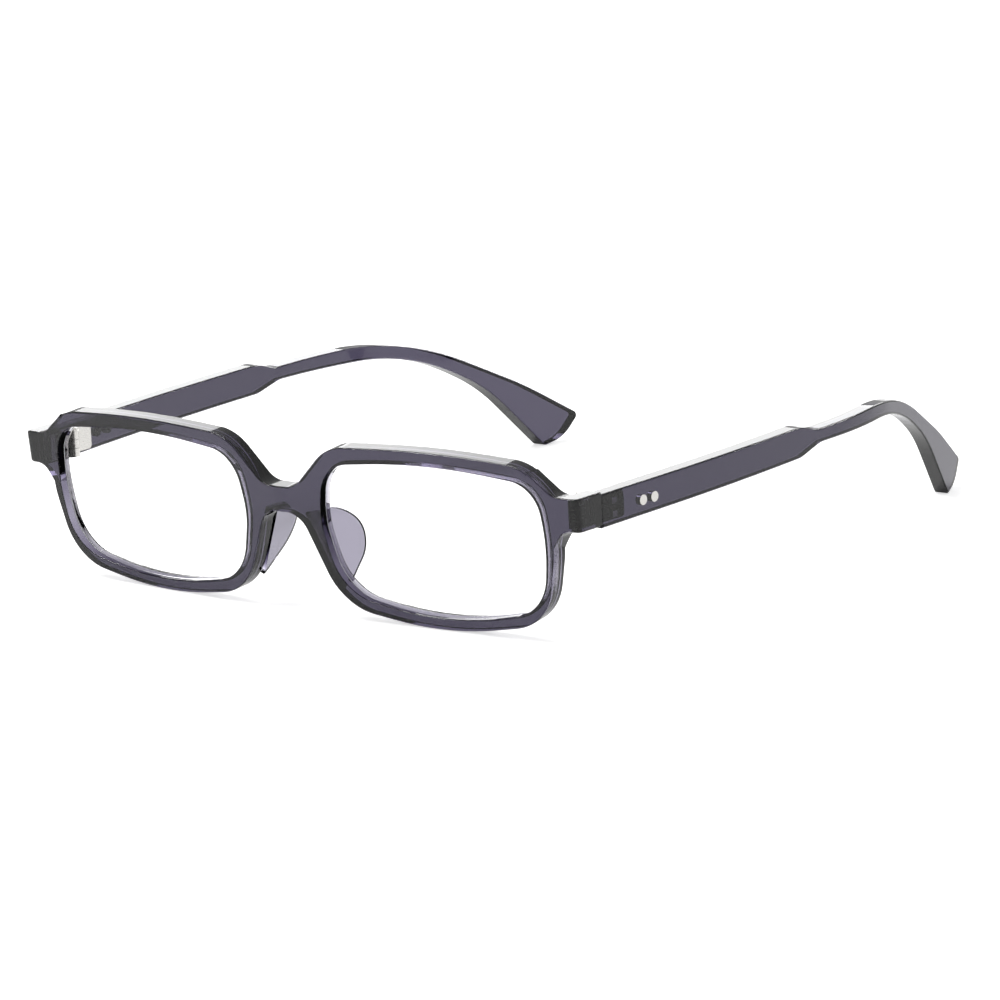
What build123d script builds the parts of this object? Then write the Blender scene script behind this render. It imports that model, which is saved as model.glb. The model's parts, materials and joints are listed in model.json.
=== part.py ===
from build123d import *
import math
import os

os.makedirs("parts", exist_ok=True)

# Rectangular eyeglasses standing open on a table, with the wearer looking along -Y.
# X runs to the wearer's left, Y to the back and Z up. The origin is on the table,
# below the middle of the space that the glasses take up.

# Overall sizes in millimetres
overall_depth = 150.4
front_thickness = 3.7
front_lean = 6.0
bridge_lead = 0.12
overrun = 2.0

# Lens openings and the rims round them
lens_width = 52.1
lens_height = 30.15
bridge_gap = 19.6
brow_rise = 9.6
top_rim = 2.75
bottom_rim = 2.2
nasal_rim = 3.3
side_rim = 2.3
bridge_height = 5.15
bridge_flat = 7.8
bridge_under = 8.8

# Wrap of the front: two flat wings that meet in a bend at the middle of the bridge
wing_angle = 3.6
bend_half_width = 0.9

# End pieces, which turn back to the temples
endpiece_reach = 8.45
endpiece_rise = 3.2
endpiece_height = 6.55
temple_thickness = 3.67
joint_seam = 0.12

# Edges eased by tumbling, and the rounder turn of the end pieces
rim_bevel = 0.35
back_bevel = 0.2
opening_bevel = 0.22
temple_bevel = 0.38
corner_round = 1.3

# Lenses, held in a groove by a bevelled edge
lens_thickness = 1.8
lens_setback = 1.4
lens_base_radius = 320.0
bevel_height = 0.55
bevel_slope = 0.65
groove_clearance = 0.05

# Temples
temple_height = 6.5
temple_rise = 1.2
step_drop = 1.6
slim_height = 2.8
outward_bow = 2.2
inward_bend = 18.3

# Hinges with three barrels on one screw
barrel_radius = 1.45
barrel_gap = 0.08
pivot_setback = 0.9
hinge_height = 5.2
screw_radius = 0.6
screw_clearance = 0.05
screw_head_radius = 1.3
screw_head_height = 0.5
slot_width = 0.4
slot_depth = 0.25
leaf_thickness = 0.9
leaf_height = 5.0
leaf_round = 0.8
front_leaf_length = 2.2
front_leaf_gap = 0.53
temple_leaf_length = 7.1
leaf_side_gap = 0.1
leaf_end_gap = 0.15
root_depth = 1.1
root_inset = 0.3
anchor_width = 1.3
anchor_height = 1.1
anchor_depth = 1.5
anchor_spacing = 2.6
embed_clearance = 0.02

# Temple rivets
rivet_radius = 1.0
rivet_length = 2.0
rivet_crown = 0.08
rivet_spacing = 3.2
rivet_back = 11.3

# Nose pads, glued to the back of the rims
pad_thickness = 1.5
pad_depth = 9.0
pad_rise = 7.3
pad_drop = 8.9
pad_splay = 12.0
pad_bevel = 0.32

# Places across the front, and the bend between its wings
lean_cos = math.cos(math.radians(front_lean))
lean_sin = math.sin(math.radians(front_lean))
wing_cos = math.cos(math.radians(wing_angle))
wing_sin = math.sin(math.radians(wing_angle))
wing_slope = wing_sin / wing_cos
bend_radius = bend_half_width / wing_sin
bend_depth = bend_radius - bend_radius * wing_cos
crease_depth = bend_depth - bend_half_width * wing_slope
nasal_x = bridge_gap / 2
temporal_x = nasal_x + lens_width
lens_middle = (nasal_x + temporal_x) / 2
half_front = temporal_x + endpiece_reach
inner_face_x = half_front - temple_thickness
rim_inner_x = nasal_x - nasal_rim
rim_outer_x = temporal_x + side_rim
opening_top = brow_rise - top_rim
opening_bottom = opening_top - lens_height
rim_bottom = opening_bottom - bottom_rim
rim_width = rim_outer_x - rim_inner_x
rim_height = brow_rise - rim_bottom


def wrap_depth(across):
    """How far the front surface lies behind the bridge."""
    if abs(across) < bend_half_width:
        return bend_radius - math.sqrt(bend_radius**2 - across**2)
    return bend_depth + (abs(across) - bend_half_width) * wing_slope


def corner_radii(points, round_shares):
    """Radii of an outline's corners, each rounding away a share of its shorter side."""
    radii = []
    for index, round_share in enumerate(round_shares):
        corner = Vector(*points[index])
        before = Vector(*points[index - 1]) - corner
        after = Vector(*points[(index + 1) % len(points)]) - corner
        half_angle = math.radians(before.get_angle(after)) / 2
        radii.append(round_share * min(before.length, after.length) * math.tan(half_angle))
    return radii


# Lens opening: four sides, each with a low crown, between four round corners.
# Shares run across the opening from the nose and up from its bottom.
opening_share = [
    (0.030, 0.944), (0.503, 1.021), (0.983, 0.939), (1.008, 0.569),
    (0.965, 0.111), (0.515, -0.040), (0.060, 0.099), (-0.007, 0.551),
]
opening_round_share = [0.50, 0.56, 0.50, 0.45, 0.50, 0.57, 0.50, 0.30]
opening_outline = [
    (nasal_x + across * lens_width, opening_bottom + up * lens_height)
    for across, up in opening_share
]
opening_radii = corner_radii(opening_outline, opening_round_share)

# Outside of a rim and half of the bridge, which starts and ends beyond the middle.
# Shares run across the rim from its nose side and up from its bottom.
brow_share = [(0.111, 0.980), (0.531, 1.008), (0.902, 0.969), (1.003, 0.820)]
cheek_share = [(0.997, 0.480), (0.938, 0.086), (0.514, -0.030), (0.165, 0.054), (0.072, 0.175)]
rim_outline = (
    [(-bridge_flat / 2, 0), (bridge_flat / 2, 0)]
    + [
        (rim_inner_x + across * rim_width, rim_bottom + up * rim_height)
        for across, up in brow_share + cheek_share
    ]
    + [(bridge_under / 2, -bridge_height), (-bridge_under / 2, -bridge_height)]
)
rim_round_share = [0, 0.27, 0.33, 0.55, 0.45, 0.11, 0.15, 0.54, 0.60, 0.49, 0.45, 0.385, 0]
rim_radii = corner_radii(rim_outline, rim_round_share)

# The rims stand on the table with the bevelled edge of their lowest points
with BuildLine() as rim_line:
    FilletPolyline(*rim_outline, radius=rim_radii, close=True)
rim_low = rim_line.line.bounding_box().min.Y
bridge_top_z = -rim_low * lean_cos - (wrap_depth(lens_middle) + rim_bevel) * lean_sin

# Planes of the front. In the plan plane Y points back from the front, and the wing plane
# is the face of the left wing.
front_y = -overall_depth / 2 + bridge_lead
across_axis = Vector(1, 0, 0)
back_axis = Vector(0, lean_cos, lean_sin)
up_axis = Vector(0, -lean_sin, lean_cos)
bridge_top = Vector(0, front_y, bridge_top_z)
plan_plane = Plane(origin=bridge_top, x_dir=across_axis, z_dir=up_axis)
wing_plane = Plane(
    origin=bridge_top + back_axis * crease_depth,
    x_dir=across_axis * wing_cos + back_axis * wing_sin,
    z_dir=across_axis * wing_sin - back_axis * wing_cos,
)

# Places of the end pieces, the joints and the hinge pins
endpiece_bottom = endpiece_rise - endpiece_height
endpiece_top_z = bridge_top_z + endpiece_rise * lean_cos
corner_back_y = front_y + (wrap_depth(half_front) + front_thickness) * lean_cos
front_leaf_front_y = corner_back_y + front_leaf_gap
front_leaf_y = front_leaf_front_y + front_leaf_length / 2
pivot_x = inner_face_x - leaf_side_gap - barrel_radius
pivot_y = front_leaf_front_y + front_leaf_length + leaf_end_gap + barrel_radius
hinge_z = endpiece_top_z - endpiece_height * lean_cos / 2
joint_y = pivot_y - pivot_setback
temple_front_y = joint_y + joint_seam
temple_end_y = overall_depth / 2
temple_leaf_y = pivot_y + temple_leaf_length / 2
barrel_height = (hinge_height - 2 * barrel_gap) / 3

# End piece seen from the front, which flares into the rim above and below.
# Shares run outwards from the opening by the end piece's height, and down from its top.
endpiece_share = [
    (-0.35, -0.68), (0.49, 0), (0.68, 1), (0.30, 1.55), (0, 2.2), (-0.35, 2.2),
]
flare_points = [
    (temporal_x + out * endpiece_height, endpiece_rise - down * endpiece_height)
    for out, down in endpiece_share
]
endpiece_outline = (
    flare_points[:2]
    + [(half_front + overrun, endpiece_rise), (half_front + overrun, endpiece_bottom)]
    + flare_points[2:]
)
endpiece_round_share = [0, 0.22, 0, 0, 0.42, 0.35, 0, 0]
endpiece_radii = corner_radii(endpiece_outline, endpiece_round_share)


def wrapped_sheet(start, thickness):
    """A sheet that leans and wraps like the front and starts some way behind its face."""
    reach = 2 * half_front
    end_depth = wrap_depth(reach) + start
    wing_depth = bend_depth + start
    with BuildPart() as sheet:
        with BuildSketch(plan_plane):
            with BuildLine():
                Line((-reach, end_depth), (-bend_half_width, wing_depth))
                ThreePointArc(
                    (-bend_half_width, wing_depth), (0, start), (bend_half_width, wing_depth)
                )
                Line((bend_half_width, wing_depth), (reach, end_depth))
                Line((reach, end_depth), (reach, end_depth + thickness))
                Line((reach, end_depth + thickness), (bend_half_width, wing_depth + thickness))
                ThreePointArc(
                    (bend_half_width, wing_depth + thickness),
                    (0, start + thickness),
                    (-bend_half_width, wing_depth + thickness),
                )
                Line((-bend_half_width, wing_depth + thickness), (-reach, end_depth + thickness))
                Line((-reach, end_depth + thickness), (-reach, end_depth))
            make_face()
        extrude(amount=reach, both=True)
    return sheet.part


def lies_at(edge, depth):
    """Whether an edge lies some way behind the front's face, seams of the bend apart."""
    place = plan_plane.to_local_coords(edge @ 0.5)
    in_surface = abs(place.Y - wrap_depth(place.X) - depth) < rim_bevel / 50
    on_seam = abs(abs(place.X) - bend_half_width) < rim_bevel / 50
    return in_surface and not on_seam


def front_edges(edges):
    """The edges in the front's face."""
    return ShapeList([edge for edge in edges if lies_at(edge, 0)])


def back_edges(edges):
    """The edges in the back of the front's sheet."""
    return ShapeList([edge for edge in edges if lies_at(edge, front_thickness)])


# Lens: the opening's shape and a rim for the groove, cut from a shallow shell
shell_centre = wing_plane.from_local_coords(
    (lens_middle, (opening_top + opening_bottom) / 2, -lens_setback - lens_base_radius)
)


def lens_blank(spare):
    """A bevelled lens, larger all round by a spare amount."""
    with BuildPart() as blank:
        with BuildSketch(wing_plane):
            with BuildLine():
                FilletPolyline(*opening_outline, radius=opening_radii, close=True)
            make_face()
            offset(amount=bevel_height - groove_clearance + spare)
        extrude(amount=2 * front_thickness, both=True)
        with Locations(shell_centre):
            Sphere(lens_base_radius + lens_thickness / 2 + spare, mode=Mode.INTERSECT)
            Sphere(lens_base_radius - lens_thickness / 2 - spare, mode=Mode.SUBTRACT)
        lens_faces = blank.faces().filter_by(GeomType.SPHERE)
        chamfer(lens_faces.edges(), length=bevel_slope)
    return blank.part


with BuildPart() as left_lens:
    add(lens_blank(0))
with BuildPart() as right_lens:
    mirror(left_lens.part, about=Plane.YZ)


def lug_room(middle_y, spare):
    """The block that holds the front's leaf in the plastic."""
    with BuildPart() as lug:
        with BuildSketch(Plane.YZ.offset(inner_face_x)):
            with Locations((middle_y, hinge_z)):
                Rectangle(
                    front_leaf_length - 2 * root_inset + 2 * spare,
                    hinge_height - 2 * root_inset + 2 * spare,
                )
        extrude(amount=root_depth + spare)
    return lug.part


def anchors(spare):
    """Two square lugs that go from the temple's leaf into the plastic."""
    with BuildPart() as pair:
        with BuildSketch(Plane.YZ.offset(inner_face_x + leaf_thickness)):
            with Locations((temple_leaf_y, hinge_z)):
                with GridLocations(anchor_width, anchor_spacing, 1, 2):
                    Rectangle(anchor_width + 2 * spare, anchor_height + 2 * spare)
        extrude(amount=anchor_depth + spare)
    return pair.part


def temple_leaf_plate(spare):
    """The plate let into the inner face of the temple."""
    with BuildPart() as plate:
        with BuildSketch(Plane.YZ.offset(inner_face_x)):
            with Locations((temple_leaf_y, hinge_z)):
                RectangleRounded(
                    temple_leaf_length + 2 * spare, leaf_height + 2 * spare, leaf_round + spare
                )
        extrude(amount=leaf_thickness + spare)
    return plate.part


# Front frame: rims and bridge cut square to the wings, with end pieces that turn back
with BuildPart() as end_piece_room:
    add(wrapped_sheet(0, front_thickness))
    leg_front_y = front_y + wrap_depth(half_front) + front_thickness / 2
    with BuildSketch(Plane.XY.offset(bridge_top_z + brow_rise)):
        with Locations((half_front - temple_thickness / 2, (leg_front_y + joint_y) / 2)):
            Rectangle(temple_thickness, joint_y - leg_front_y)
    extrude(amount=-2 * brow_rise - endpiece_height)

with BuildPart() as end_piece:
    with BuildSketch(wing_plane):
        with BuildLine():
            FilletPolyline(*endpiece_outline, radius=endpiece_radii, close=True)
        make_face()
    extrude(amount=2 * (joint_y - front_y), dir=(0, 1, 0))
    add(end_piece_room.part, mode=Mode.INTERSECT)
    with BuildSketch(Plane.YZ.offset(half_front)):
        with Locations((joint_y, bridge_top_z)):
            Rectangle(2 * half_front, 2 * half_front)
    extrude(amount=half_front, mode=Mode.SUBTRACT)
    fillet(front_edges(end_piece.edges()).sort_by(Axis.X)[-1], corner_round)
    level_edges = end_piece.faces().filter_by(Axis.Z).edges()
    turn_edges = [edge for edge in level_edges if (edge @ 0.5).X > half_front - corner_round]
    round_edges = turn_edges + [
        edge for edge in front_edges(end_piece.edges())
        if temporal_x < (edge @ 0.5).X < half_front - corner_round and abs((edge % 0.5).Z) < lean_cos
    ]
    chamfer(ShapeList(set(round_edges)), length=rim_bevel)

with BuildPart() as opening:
    with BuildSketch(wing_plane):
        with BuildLine():
            FilletPolyline(*opening_outline, radius=opening_radii, close=True)
        make_face()
    extrude(amount=2 * front_thickness, both=True)

with BuildPart() as front_frame:
    with BuildSketch(wing_plane):
        with BuildLine():
            FilletPolyline(*rim_outline, radius=rim_radii, close=True)
        make_face()
    extrude(amount=2 * front_thickness, both=True)
    split(bisect_by=Plane.YZ)
    mirror(about=Plane.YZ)
    add(wrapped_sheet(0, front_thickness), mode=Mode.INTERSECT)
    chamfer(front_edges(front_frame.edges()), length=rim_bevel)
    chamfer(back_edges(front_frame.edges()), length=back_bevel)
    add(end_piece.part)
    mirror(end_piece.part, about=Plane.YZ)
    for side in (opening.part, mirror(opening.part, about=Plane.YZ, mode=Mode.PRIVATE)):
        add(side, mode=Mode.SUBTRACT)
        cut_edges = front_frame.edges(Select.LAST)
        chamfer(front_edges(cut_edges) + back_edges(cut_edges), length=opening_bevel)
    groove = lens_blank(groove_clearance)
    add(groove, mode=Mode.SUBTRACT)
    mirror(groove, about=Plane.YZ, mode=Mode.SUBTRACT)
    lug = lug_room(front_leaf_y, embed_clearance)
    add(lug, mode=Mode.SUBTRACT)
    mirror(lug, about=Plane.YZ, mode=Mode.SUBTRACT)

# Temple: seen from the side it steps down to a slim ear part and widens to the tip.
# Shares run along the temple from its joint and up from the table to its top edge.
temple_length = temple_end_y - temple_front_y
temple_top_z = endpiece_top_z
step_top_z = temple_top_z + temple_rise
slim_top_z = step_top_z - step_drop
step_share = [0.435, 0.466]
ear_share = [
    (0.719, 1.001), (0.912, 0.498), (1.004, 0.199), (0.977, 0.039),
    (0.9435, -0.0042), (0.849, 0.520), (0.7245, 0.882),
]
under_share = [(0.478, 0), (0.430, 0.95)]
temple_round_share = [0, 0.49, 0.32, 0.50, 0.21, 0.21, 0.51, 0.12, 0.30, 0.60, 0.13, 0.10, 0]


def along(share):
    """Place along the temple as a share of its length."""
    return temple_front_y + share * temple_length


temple_outline = (
    [(temple_front_y, temple_top_z), (along(step_share[0]), step_top_z)]
    + [(along(step_share[1]), slim_top_z)]
    + [(along(back), up * temple_top_z) for back, up in ear_share]
    + [
        (along(under_share[0][0]), slim_top_z - slim_height),
        (along(under_share[1][0]), step_top_z - under_share[1][1] * temple_height),
        (temple_front_y, temple_top_z - temple_height),
    ]
)
temple_radii = corner_radii(temple_outline, temple_round_share)

# Plan of the temple: it bows out a little and then bends in behind the ear.
# Shares run along the temple, and across it by the bow or the bend.
bow_share = [(-0.07, -0.02), (1.0, 0.277), (0.38, 0.601)]
bend_share = (1.08, 1.03)
plan_round_share = [0, 0.53, 0.27, 0]
plan_line = [(half_front + out * outward_bow, along(back)) for out, back in bow_share]
plan_line.append((half_front - bend_share[0] * inward_bend, along(bend_share[1])))
plan_radii = corner_radii(plan_line, plan_round_share)[1:-1]
inner_plan_line = [(across - temple_thickness, back) for across, back in plan_line]
outward_slope = (plan_line[1][0] - plan_line[0][0]) / (plan_line[1][1] - plan_line[0][1])

with BuildPart() as temple_plan:
    with BuildSketch(Plane.XY):
        with BuildLine():
            FilletPolyline(*plan_line, radius=plan_radii)
            FilletPolyline(*inner_plan_line, radius=plan_radii)
            Line(plan_line[0], inner_plan_line[0])
            Line(plan_line[-1], inner_plan_line[-1])
        make_face()
    extrude(amount=2 * step_top_z, both=True)


def rivet_plane(place):
    """Plane on the temple's outer face where a rivet sits."""
    back = temple_front_y + rivet_back + place * rivet_spacing
    across = plan_line[0][0] + (back - plan_line[0][1]) * outward_slope
    return Plane(origin=(across, back, hinge_z), x_dir=(0, 0, 1), z_dir=(1, -outward_slope, 0))


def rivet_pin(place, spare):
    """A rivet with a low crown, larger all round by a spare amount."""
    with BuildPart() as pin:
        with BuildSketch(rivet_plane(place)):
            Circle(rivet_radius + spare)
        extrude(amount=rivet_crown + spare)
        extrude(pin.faces().sort_by(Axis.X)[-1], amount=-rivet_crown - rivet_length - 2 * spare)
    return pin.part


def runs_along(edge):
    """Whether an edge of the temple runs along it and not straight across it."""
    return abs((edge @ 0).Y - (edge @ 1).Y) + abs((edge @ 0).Z - (edge @ 1).Z) > joint_seam / 10


with BuildPart() as left_temple:
    with BuildSketch(Plane.YZ):
        with BuildLine():
            FilletPolyline(*temple_outline, radius=temple_radii, close=True)
        make_face()
    extrude(amount=half_front + 2 * outward_bow)
    add(temple_plan.part, mode=Mode.INTERSECT)
    joint_face = left_temple.faces().sort_by(Axis.Y)[0]
    long_edges = [edge for edge in left_temple.edges() if runs_along(edge)]
    chamfer([edge for edge in long_edges if edge not in joint_face.edges()], length=temple_bevel)
    add(temple_leaf_plate(embed_clearance), mode=Mode.SUBTRACT)
    add(anchors(embed_clearance), mode=Mode.SUBTRACT)
    for place in range(2):
        add(rivet_pin(place, embed_clearance), mode=Mode.SUBTRACT)
with BuildPart() as right_temple:
    mirror(left_temple.part, about=Plane.YZ)

left_rivets = [rivet_pin(place, 0) for place in range(2)]
right_rivets = [mirror(pin, about=Plane.YZ) for pin in left_rivets]

# Hinge: the front's leaf has the outer barrels, the temple's leaf has the middle one
barrel_step = barrel_height + barrel_gap
lower_barrel_z = hinge_z - hinge_height / 2
barrel_levels = [lower_barrel_z + step * barrel_step for step in range(3)]


def barrel(level, web_front_y, web_back_y, web_outer_x):
    """One barrel of the hinge with the web that joins it to its leaf."""
    web_inner_x = inner_face_x - leaf_thickness
    with BuildPart() as knuckle:
        with BuildSketch(Plane.XY.offset(level)):
            with Locations((pivot_x, pivot_y)):
                Circle(barrel_radius)
            with Locations(((web_inner_x + web_outer_x) / 2, (web_front_y + web_back_y) / 2)):
                Rectangle(web_outer_x - web_inner_x, web_back_y - web_front_y)
            with Locations((pivot_x, pivot_y)):
                Circle(screw_radius + screw_clearance, mode=Mode.SUBTRACT)
        extrude(amount=barrel_height)
    return knuckle.part


with BuildPart() as left_front_hinge:
    with BuildSketch(Plane.YZ.offset(inner_face_x)):
        with Locations((front_leaf_y, hinge_z)):
            Rectangle(front_leaf_length, hinge_height)
    extrude(amount=-leaf_thickness)
    add(lug_room(front_leaf_y, 0))
    for level in (barrel_levels[0], barrel_levels[2]):
        add(barrel(level, front_leaf_y, pivot_y, pivot_x + barrel_radius))
with BuildPart() as right_front_hinge:
    mirror(left_front_hinge.part, about=Plane.YZ)

with BuildPart() as left_temple_hinge:
    add(temple_leaf_plate(0))
    add(anchors(0))
    web_back_y = pivot_y + barrel_radius + leaf_side_gap
    add(barrel(barrel_levels[1], pivot_y, web_back_y, inner_face_x + leaf_thickness / 2))
with BuildPart() as right_temple_hinge:
    mirror(left_temple_hinge.part, about=Plane.YZ)

# Hinge screw: a slotted cheese head on the top barrel and a shank through all three
head_z = barrel_levels[2] + barrel_height
with BuildPart() as left_hinge_screw:
    with BuildSketch(Plane.XY.offset(lower_barrel_z)):
        with Locations((pivot_x, pivot_y)):
            Circle(screw_radius)
    extrude(amount=hinge_height)
    with BuildSketch(Plane.XY.offset(head_z)):
        with Locations((pivot_x, pivot_y)):
            Circle(screw_head_radius)
    extrude(amount=screw_head_height)
    head_edge = left_hinge_screw.edges().filter_by(GeomType.CIRCLE).sort_by(Axis.Z)[-1]
    chamfer(head_edge, length=screw_head_height / 4)
    with BuildSketch(Plane.XY.offset(head_z + screw_head_height)):
        with Locations((pivot_x, pivot_y)):
            Rectangle(3 * screw_head_radius, slot_width)
    extrude(amount=-slot_depth, mode=Mode.SUBTRACT)
with BuildPart() as right_hinge_screw:
    mirror(left_hinge_screw.part, about=Plane.YZ)

# Nose pad: a thin rounded plate that stands out behind the nose side of a rim.
# Shares run back from the rim, and up or down by the pad's rise or drop.
wall_top = Vector(*rim_outline[-2])
wall_foot = Vector(*rim_outline[-3])
wall_slope = (wall_top.X - wall_foot.X) / (wall_top.Y - wall_foot.Y)
pad_level_share = 0.345
pad_up = -pad_level_share * rim_height
pad_across = wall_top.X + (pad_up - wall_top.Y) * wall_slope + pad_thickness / 3
pad_seat = wing_plane.from_local_coords((pad_across, pad_up, -front_thickness))
splay_cos = math.cos(math.radians(pad_splay))
splay_sin = math.sin(math.radians(pad_splay))
pad_back = Vector(splay_sin, splay_cos, 0)
pad_axis = up_axis + wing_plane.x_dir * wall_slope
pad_plane = Plane(origin=pad_seat, x_dir=pad_back, z_dir=pad_back.cross(pad_axis))
pad_upper_share = [(0.51, 0.96), (1.02, 0.44)]
pad_lower_share = [(0.95, 0.25), (0.20, 1.0)]
pad_outline = (
    [(-overrun, pad_rise)]
    + [(back * pad_depth, up * pad_rise) for back, up in pad_upper_share]
    + [(back * pad_depth, -down * pad_drop) for back, down in pad_lower_share]
    + [(-overrun, -pad_drop)]
)
pad_round_share = [0, 0.49, 0.49, 0.49, 0.40, 0]
pad_radii = corner_radii(pad_outline, pad_round_share)

with BuildPart() as left_nose_pad:
    with BuildSketch(pad_plane):
        with BuildLine():
            FilletPolyline(*pad_outline, radius=pad_radii, close=True)
        make_face()
    extrude(amount=pad_thickness / 2, both=True)
    flat_edges = left_nose_pad.faces().filter_by(pad_plane).edges()
    outer_edges = [edge for edge in flat_edges if pad_plane.to_local_coords(edge @ 0.5).X > 0]
    chamfer(outer_edges, length=pad_bevel)
    add(wrapped_sheet(front_thickness, 2 * pad_depth), mode=Mode.INTERSECT)
with BuildPart() as right_nose_pad:
    mirror(left_nose_pad.part, about=Plane.YZ)

pieces = {
    "front_frame": front_frame.part,
    "left_lens": left_lens.part,
    "right_lens": right_lens.part,
    "left_nose_pad": left_nose_pad.part,
    "right_nose_pad": right_nose_pad.part,
    "left_temple": left_temple.part,
    "right_temple": right_temple.part,
    "left_front_hinge": left_front_hinge.part,
    "right_front_hinge": right_front_hinge.part,
    "left_temple_hinge": left_temple_hinge.part,
    "right_temple_hinge": right_temple_hinge.part,
    "left_hinge_screw": left_hinge_screw.part,
    "right_hinge_screw": right_hinge_screw.part,
    "left_front_rivet": left_rivets[0],
    "left_rear_rivet": left_rivets[1],
    "right_front_rivet": right_rivets[0],
    "right_rear_rivet": right_rivets[1],
}
for piece_name, piece in pieces.items():
    piece.label = piece_name
    export_step(piece, f"parts/{piece_name}.step")
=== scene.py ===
import json
import math

import bmesh
import bpy
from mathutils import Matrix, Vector
from mathutils.kdtree import KDTree


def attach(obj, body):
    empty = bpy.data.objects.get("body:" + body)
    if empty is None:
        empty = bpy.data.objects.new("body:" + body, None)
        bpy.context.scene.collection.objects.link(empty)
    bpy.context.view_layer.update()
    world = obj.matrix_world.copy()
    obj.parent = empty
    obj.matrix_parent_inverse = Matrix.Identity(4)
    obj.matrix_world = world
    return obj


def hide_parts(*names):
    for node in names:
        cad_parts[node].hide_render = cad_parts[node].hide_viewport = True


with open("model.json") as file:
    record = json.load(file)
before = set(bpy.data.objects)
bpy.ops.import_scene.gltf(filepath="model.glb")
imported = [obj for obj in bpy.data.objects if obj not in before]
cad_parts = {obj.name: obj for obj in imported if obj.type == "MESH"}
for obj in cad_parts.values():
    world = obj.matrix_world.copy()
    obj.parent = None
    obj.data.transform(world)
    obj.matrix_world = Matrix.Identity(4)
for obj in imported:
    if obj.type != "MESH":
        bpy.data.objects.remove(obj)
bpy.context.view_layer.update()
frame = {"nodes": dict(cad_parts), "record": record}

# Sizes in metres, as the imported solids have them
MM = 0.001
WELD = 0.002 * MM  # corners nearer than this are one corner
BEVEL_WIDTH = 0.62 * MM  # the widest band that counts as a bevel
BEVEL_TURN = math.radians(25)  # the most that one smooth face turns between its triangles
LUG_END = 0.3 * MM  # how far back from their ends the hinge lugs are filed

# Cosines between normals
SAME_WAY = 0.9  # above this, two faces look the same way
BEVEL_SIDES = (0.5, 0.88)  # between a bevel and the faces on its two sides
LENS_LAND = 0.30  # below this, to the lens axis, a face is the land that the wheel ground

# Sizes of the patterns
POLISH_WAVE = 5 * MM
WHEEL_MARK = 0.3 * MM
EDGING_GRIT = 0.15 * MM
RELIEF = 0.02 * MM  # height of the polish waves and of the grit
GLOSS_SPREAD = 0.08  # how far the wheel marks move the metal's roughness either way
SMOKE_DENSITY = 1180.0  # per metre: the 3.7 mm front lets about a twentieth through

# How the surroundings look: 1 is white
PAPER_LIFT = 0.60  # glow that brings the lit floor up to white paper
WORLD_FILL = 0.35  # plain light from all round
MIRRORED = 0.30  # how far the fill goes towards white in mirror images on polished surfaces
INNER_PAINTED_SHADE = 0.03  # painted shade: how bright the world shows to light reflected inside the plastic, which darkens the bands along its edges

# Camera, fitted to the photograph
CAMERA_PLACE = (754.17 * MM, -902.26 * MM, 270.47 * MM)
CAMERA_TURN = (77.3711, 3.0379, 39.5065)
CAMERA_LENS = 216  # millimetres, on a 36 mm sensor


def linear(hex_colour):
    """An sRGB hex colour as linear red, green, blue and alpha."""
    values = [int(hex_colour[i:i + 2], 16) / 255 for i in (1, 3, 5)]
    return [v / 12.92 if v <= 0.04045 else ((v + 0.055) / 1.055) ** 2.4 for v in values] + [1.0]


def add_node(tree, kind, settings=None, inputs=None, links=None):
    """Adds a node, sets its options and sockets, and links sockets from other nodes."""
    node = tree.nodes.new(kind)
    for name, value in (settings or {}).items():
        setattr(node, name, value)
    for name, value in (inputs or {}).items():
        node.inputs[name].default_value = value
    for name, (source, output) in (links or {}).items():
        tree.links.new(source.outputs[output], node.inputs[name])
    return node


def new_material(name):
    """An empty node material with its output."""
    material = bpy.data.materials.new(name)
    material.use_nodes = True
    material.node_tree.nodes.clear()
    output = add_node(material.node_tree, "ShaderNodeOutputMaterial")
    return material, material.node_tree, output


def noise_on(tree, size, detail=2.0):
    """Noise whose grains are a real size across, fixed to the piece."""
    place = add_node(tree, "ShaderNodeTexCoord")
    return add_node(tree, "ShaderNodeTexNoise", None, {"Scale": 1.0 / size, "Detail": detail},
                    {"Vector": (place, "Object")})


def smoked_acetate():
    """Polished smoke-grey acetate sheet: clear plastic that darkens with the way light goes,
    with the slow waves that tumbling leaves on it, so that its mirror lines are not ruled."""
    material, tree, output = new_material("smoked_acetate")
    waves = noise_on(tree, POLISH_WAVE)
    polish = add_node(tree, "ShaderNodeBump", None, {"Strength": 0.35, "Distance": RELIEF},
                      {"Height": (waves, 0)})
    surface = add_node(tree, "ShaderNodeBsdfPrincipled", None, {
        "Base Color": linear("#FFFFFF"), "Roughness": 0.0, "IOR": 1.49,
        "Transmission Weight": 1.0,
    }, {"Normal": (polish, 0)})
    absorption = add_node(tree, "ShaderNodeVolumeAbsorption", None, {
        "Color": linear("#9E98AE"), "Density": SMOKE_DENSITY,
    })
    tree.links.new(surface.outputs[0], output.inputs["Surface"])
    tree.links.new(absorption.outputs[0], output.inputs["Volume"])
    return material


def demo_lens():
    """Cast clear lens with an anti-reflection coat, which the low IOR stands for."""
    material, tree, output = new_material("demo_lens")
    surface = add_node(tree, "ShaderNodeBsdfPrincipled", None, {
        "Base Color": linear("#FFFFFF"), "Roughness": 0.0, "IOR": 1.14,
        "Transmission Weight": 1.0,
    })
    tree.links.new(surface.outputs[0], output.inputs["Surface"])
    return material


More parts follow.
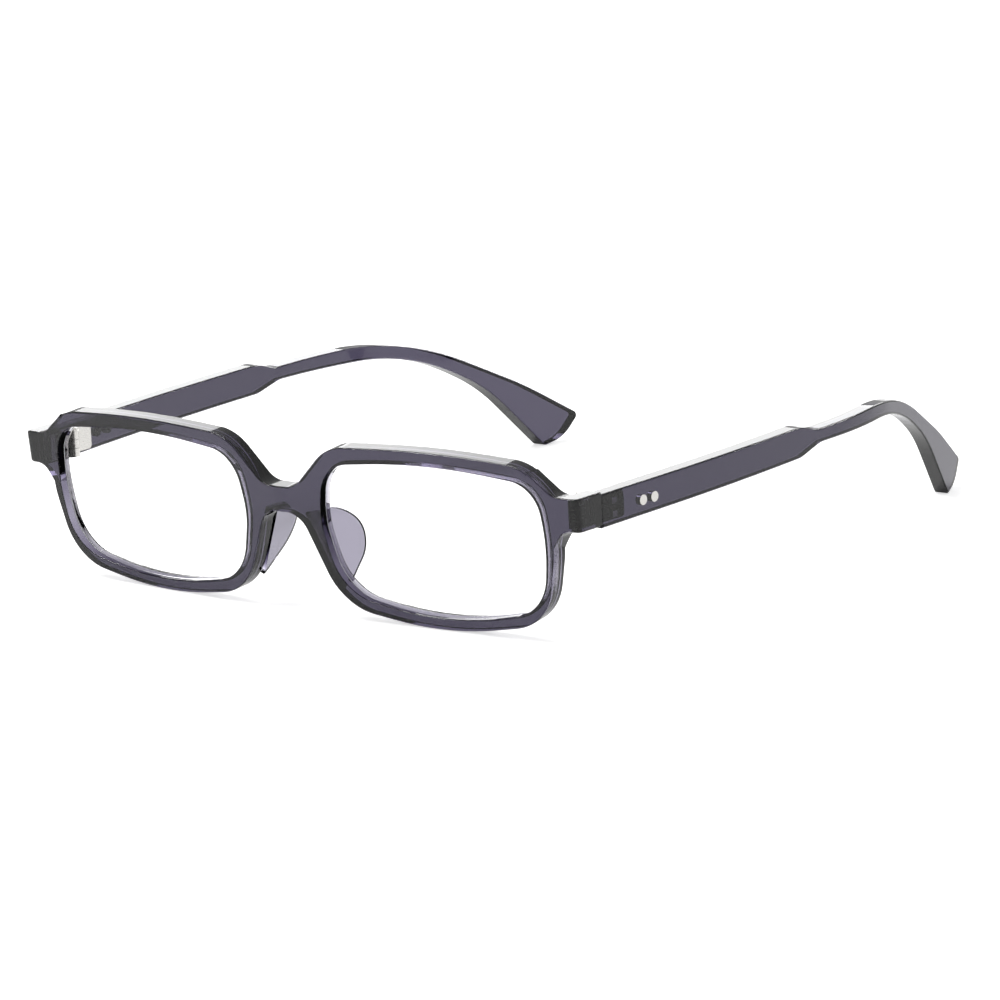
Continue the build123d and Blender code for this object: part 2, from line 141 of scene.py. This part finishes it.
def nickel_silver(name, colour, roughness, metallic):
    """Nickel silver of the hinges, screws and rivets: warm white metal whose fine wheel marks
    spread its highlights unevenly, or a matte filed end of it."""
    material, tree, output = new_material(name)
    marks = noise_on(tree, WHEEL_MARK, 4.0)
    gloss = add_node(tree, "ShaderNodeMapRange", None, {
        "To Min": roughness - GLOSS_SPREAD, "To Max": roughness + GLOSS_SPREAD,
    }, {"Value": (marks, 0)})
    surface = add_node(tree, "ShaderNodeBsdfPrincipled", None, {
        "Base Color": linear(colour), "Metallic": metallic,
    }, {"Roughness": (gloss, 0)})
    tree.links.new(surface.outputs[0], output.inputs["Surface"])
    return material


def ground_glass():
    """Matte land that the edging wheel leaves round a lens: it scatters light and looks white.
    The wheel's grit is drawn coarser than it is, so that it shows."""
    material, tree, output = new_material("ground_lens_edge")
    grit = noise_on(tree, EDGING_GRIT)
    grain = add_node(tree, "ShaderNodeBump", None, {"Strength": 0.6, "Distance": RELIEF},
                     {"Height": (grit, 0)})
    surface = add_node(tree, "ShaderNodeBsdfPrincipled", None, {
        "Base Color": linear("#F2F4F6"), "Roughness": 0.55, "IOR": 1.5,
        "Transmission Weight": 0.35,
    }, {"Normal": (grain, 0)})
    tree.links.new(surface.outputs[0], output.inputs["Surface"])
    return material


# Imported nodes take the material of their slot
plastic = smoked_acetate()
ground_edge = ground_glass()
filed_lug = nickel_silver("filed_nickel_silver", "#F6F5F2", 0.6, 0.0)
slot_materials = {
    "smoke_plastic": plastic,
    "clear_pad": plastic,
    "demo_lens": demo_lens(),
    "silver_metal": nickel_silver("nickel_silver", "#E0DEDA", 0.26, 1.0),
}
for entry in frame["record"]["subparts"]:
    node = frame["nodes"][entry["node"]]
    node.data.materials.clear()
    node.data.materials.append(slot_materials[entry["material_slot"]])


def welded_copy(node_name, piece_name):
    """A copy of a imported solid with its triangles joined, and the exact normals it came with."""
    bpy.ops.object.select_all(action="DESELECT")
    source = frame["nodes"][node_name]
    exact = [
        (source.data.vertices[corner.vertex_index].co.copy(), normal.vector.copy())
        for corner, normal in zip(source.data.loops, source.data.corner_normals)
    ]
    piece = bpy.data.objects.new(piece_name, source.data.copy())
    bpy.context.scene.collection.objects.link(piece)
    bpy.context.view_layer.objects.active = piece
    piece.select_set(True)
    bpy.ops.mesh.customdata_custom_splitnormals_clear()
    bpy.ops.object.mode_set(mode="EDIT")
    bpy.ops.mesh.select_all(action="SELECT")
    bpy.ops.mesh.remove_doubles(threshold=WELD)
    bpy.ops.object.mode_set(mode="OBJECT")
    return piece, exact


def bonded(piece, others):
    """Joins glued pieces into one body of plastic."""
    for other in others:
        bond = piece.modifiers.new("bond", "BOOLEAN")
        bond.operation = "UNION"
        bond.solver = "EXACT"
        bond.object = other
        bpy.ops.object.select_all(action="DESELECT")
        bpy.context.view_layer.objects.active = piece
        piece.select_set(True)
        bpy.ops.object.modifier_apply(modifier=bond.name)
        bpy.data.objects.remove(other)


def narrow_faces(mesh):
    """Indices of the faces in narrow bands between two sharper turns, which are the bevels."""
    shape = bmesh.new()
    shape.from_mesh(mesh)
    shape.faces.ensure_lookup_table()
    found, seen = set(), set()
    for start in shape.faces:
        if start.index in seen:
            continue
        seen.add(start.index)
        patch, queue, rim = [], [start], 0.0
        while queue:
            face = queue.pop()
            patch.append(face)
            for edge in face.edges:
                for other in edge.link_faces:
                    if other is face:
                        continue
                    if edge.calc_face_angle(math.pi) > BEVEL_TURN:
                        rim += edge.calc_length()
                    elif other.index not in seen:
                        seen.add(other.index)
                        queue.append(other)
        area = sum(face.calc_area() for face in patch)
        if rim > 0 and 2 * area / rim < BEVEL_WIDTH:
            found.update(face.index for face in patch)
    shape.free()
    return found


def rounded(piece, exact):
    """Shades bevels as the round edges that tumbling leaves, and all else by its exact normals."""
    mesh = piece.data
    bevels = narrow_faces(mesh)
    tree = KDTree(len(exact))
    for index, (place, _) in enumerate(exact):
        tree.insert(place, index)
    tree.balance()
    normals = []
    for face in mesh.polygons:
        face.use_smooth = True
        for corner in face.loop_indices:
            place = mesh.vertices[mesh.loops[corner].vertex_index].co
            near = [exact[index][1] for _, index, _ in tree.find_range(place, 2 * WELD)]
            if face.index in bevels:
                near = [normal for normal in near
                        if BEVEL_SIDES[0] < normal.dot(face.normal) < BEVEL_SIDES[1]]
            else:
                near = [normal for normal in near if normal.dot(face.normal) > SAME_WAY]
            normals.append(max(near, key=face.normal.dot) if near else face.normal.copy())
    mesh.normals_split_custom_set(normals)


def stands_for(piece, body, slot, *nodes):
    """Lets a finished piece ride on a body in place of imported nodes."""
    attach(piece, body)
    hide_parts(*nodes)


# Front: the nose pads are glued on, so the three solids are one body of plastic
front, exact = welded_copy("front_frame", "front_with_pads")
pads = [welded_copy(side + "_nose_pad", side + "_pad_copy") for side in ("left", "right")]
bonded(front, [pad for pad, _ in pads])
rounded(front, exact + pads[0][1] + pads[1][1])
stands_for(front, "front", "smoke_plastic", "front_frame", "left_nose_pad", "right_nose_pad")
for side in ("left", "right"):
    # Temple
    temple, exact = welded_copy(side + "_temple", side + "_temple_polished")
    rounded(temple, exact)
    stands_for(temple, side + "_temple_arm", "smoke_plastic", side + "_temple")

    # Temple hinge: the ends of its two lugs are filed, and show through the plastic
    hinge, exact = welded_copy(side + "_temple_hinge", side + "_temple_hinge_filed")
    hinge.data.materials.append(filed_lug)
    reach = max(abs(vertex.co.x) for vertex in hinge.data.vertices) - LUG_END
    for face in hinge.data.polygons:
        face.material_index = int(abs(face.normal.x) > SAME_WAY and abs(face.center.x) > reach)
    rounded(hinge, exact)
    stands_for(hinge, side + "_temple_arm", "silver_metal", side + "_temple_hinge")

    # Lens: its axis is the mean direction of its front
    lens, exact = welded_copy(side + "_lens", side + "_lens_ground")
    axis = sum((Vector(face.normal) * face.area for face in lens.data.polygons
                if face.normal.y < -SAME_WAY), Vector()).normalized()
    lens.data.materials.append(ground_edge)
    for face in lens.data.polygons:
        face.material_index = int(abs(axis.dot(face.normal)) < LENS_LAND)
    rounded(lens, exact)
    stands_for(lens, "front", "demo_lens", side + "_lens")


def rays(tree):
    """Factors for rays that see white paper, and for rays reflected inside plastic, which are
    shown painted shade.
    """
    path = add_node(tree, "ShaderNodeLightPath")
    turned = add_node(tree, "ShaderNodeMath", {"operation": "GREATER_THAN"}, {1: 0.5},
                      {0: (path, "Glossy Depth")})
    inner_painted_shade = add_node(tree, "ShaderNodeMath", {"operation": "MULTIPLY"}, None,
                     {0: (path, "Is Transmission Ray"), 1: (turned, 0)})
    mirrored = add_node(tree, "ShaderNodeMath", {"operation": "MULTIPLY"}, {1: MIRRORED},
                        {0: (path, "Is Glossy Ray")})
    clear = add_node(tree, "ShaderNodeMath", {"operation": "MAXIMUM"}, None,
                     {0: (path, "Is Camera Ray"), 1: (path, "Is Transmission Ray")})
    shown = add_node(tree, "ShaderNodeMath", {"operation": "MAXIMUM"}, None,
                     {0: (clear, 0), 1: (mirrored, 0)})
    white = add_node(tree, "ShaderNodeMath", {"operation": "SUBTRACT", "use_clamp": True}, None,
                     {0: (shown, 0), 1: (inner_painted_shade, 0)})
    return white, inner_painted_shade


# Floor: white paper that keeps the shadow of the glasses, and shows painted shade to light
# reflected inside the plastic
bpy.ops.object.select_all(action="DESELECT")
bpy.ops.mesh.primitive_plane_add(size=6, location=(0, 0, 0))
floor = bpy.context.object
floor.name = "studio_floor"
floor_material, tree, output = new_material("studio_floor")
white, inner_painted_shade = rays(tree)
# Light reflected inside the plastic meets the floor painted #303030: painted shade, not the
# paper's colour
paper_or_painted_shade_colour = add_node(tree, "ShaderNodeMix", {"data_type": "RGBA"},
                {6: linear("#F0F0F0"), 7: linear("#303030")}, {0: (inner_painted_shade, 0)})
paper_and_painted_shade = add_node(tree, "ShaderNodeBsdfDiffuse", None, None, {"Color": (paper_or_painted_shade_colour, 2)})
lift = add_node(tree, "ShaderNodeMath", {"operation": "MULTIPLY"}, {1: PAPER_LIFT},
                {0: (white, 0)})
glow = add_node(tree, "ShaderNodeEmission", None, {"Color": linear("#FFFFFF")},
                {"Strength": (lift, 0)})
both = add_node(tree, "ShaderNodeAddShader", None, None, {0: (paper_and_painted_shade, 0), 1: (glow, 0)})
tree.links.new(both.outputs[0], output.inputs["Surface"])
floor.data.materials.append(floor_material)

# World: white behind the glasses, softer where it lights them, and painted shade for light
# reflected inside the plastic
world = bpy.data.worlds.new("studio")
bpy.context.scene.world = world
world.use_nodes = True
tree = world.node_tree
white, inner_painted_shade = rays(tree)
lit = add_node(tree, "ShaderNodeMath", {"operation": "MULTIPLY_ADD"},
               {1: 1 - WORLD_FILL, 2: WORLD_FILL}, {0: (white, 0)})
# For light reflected inside the plastic the strength drops to the inner level: painted shade
strength = add_node(tree, "ShaderNodeMath", {"operation": "MULTIPLY_ADD"},
                    {1: INNER_PAINTED_SHADE - WORLD_FILL}, {0: (inner_painted_shade, 0), 2: (lit, 0)})
background = tree.nodes["Background"]
background.inputs["Color"].default_value = linear("#FFFFFF")
tree.links.new(strength.outputs[0], background.inputs["Strength"])


def softbox(name, place, target, size, watts):
    """A soft lamp of some width and height, turned towards a place."""
    lamp = bpy.data.lights.new(name, "AREA")
    lamp.shape = "RECTANGLE"
    lamp.size, lamp.size_y = size
    lamp.energy = watts
    holder = bpy.data.objects.new(name, lamp)
    bpy.context.scene.collection.objects.link(holder)
    holder.location = place
    holder.rotation_euler = (Vector(target) - Vector(place)).to_track_quat("-Z", "Y").to_euler()


# Lamps
softbox("top_softbox", (-0.35, 0.0, 0.90), (0, 0, 0), (0.7, 0.5), 4.5)
softbox("back_softbox", (-0.80, 0.90, 0.46), (0, 0, 0.02), (0.9, 0.45), 3.0)
# Narrow bright strips that draw the white lines along the polished edges
softbox("rim_edge_strip", (-0.54, -0.24, 0.78), (0, 0, 0.02), (0.40, 0.14), 2.2)
softbox("temple_edge_strip", (0.22, 0.80, 0.60), (0, 0, 0.02), (0.40, 0.14), 1.6)

# Camera
camera_data = bpy.data.cameras.new("camera")
camera_data.sensor_width = 36
camera_data.lens = CAMERA_LENS
camera_data.clip_start = 0.05
camera_data.clip_end = 20
camera = bpy.data.objects.new("camera", camera_data)
bpy.context.scene.collection.objects.link(camera)
camera.location = CAMERA_PLACE
camera.rotation_euler = [math.radians(angle) for angle in CAMERA_TURN]
bpy.context.scene.camera = camera
bpy.context.scene.view_settings.view_transform = "Standard"
